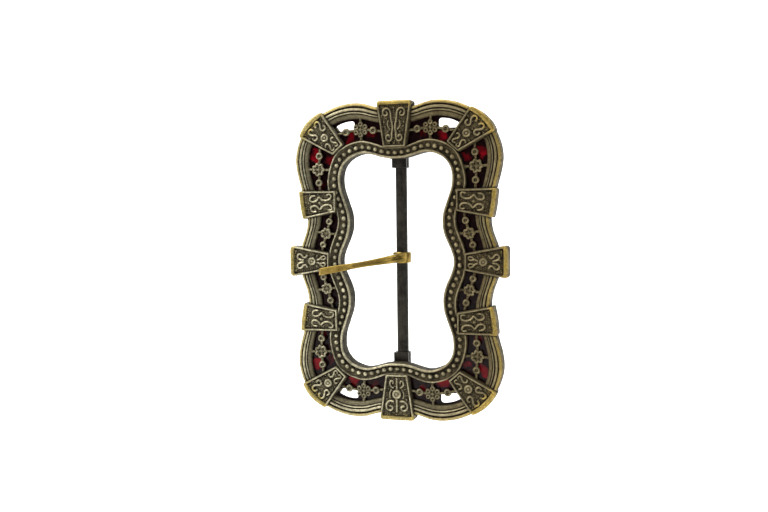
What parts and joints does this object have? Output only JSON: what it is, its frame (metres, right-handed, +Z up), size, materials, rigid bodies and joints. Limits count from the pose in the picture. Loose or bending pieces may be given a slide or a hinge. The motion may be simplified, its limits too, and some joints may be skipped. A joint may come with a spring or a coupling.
{
  "type": "belt buckle",
  "caption": "Portrait centre-bar belt buckle: wavy openwork front over a red liner, riveted back frame, lugs, bar and hinged prong.",
  "frame": {"origin": "middle of the centre bar, on its axis", "axes": "+Z up along the centre bar, +X to the right seen from the front, the decorated front faces -Y"},
  "size_m": [0.0764, 0.0145, 0.1084],
  "materials": {
    "antiqued_casting": "antiqued, dark in the recesses and rubbed pale on the ridges",
    "red_translucent": "glossy translucent garnet red",
    "dark_brass": "darkened, dull",
    "black_steel": "blackened",
    "polished_brass": "polished, finely scratched"
  },
  "bodies": {
    "frame": {"openwork_front": "antiqued_casting", "red_liner": "red_translucent", "back_frame": "dark_brass", "frame_rivets": "dark_brass", "bar_lug_top": "black_steel", "bar_lug_bottom": "black_steel", "lug_rivets": "dark_brass", "centre_bar": "black_steel"},
    "prong": {"prong": "polished_brass"}
  },
  "joints": [
    {"name": "prong_pivot", "type": "hinge", "parent": "frame", "child": "prong", "pos_m": [0, 0, 0.001], "axis": [0, 0, 1], "range_deg": [0, 120]}
  ]
}
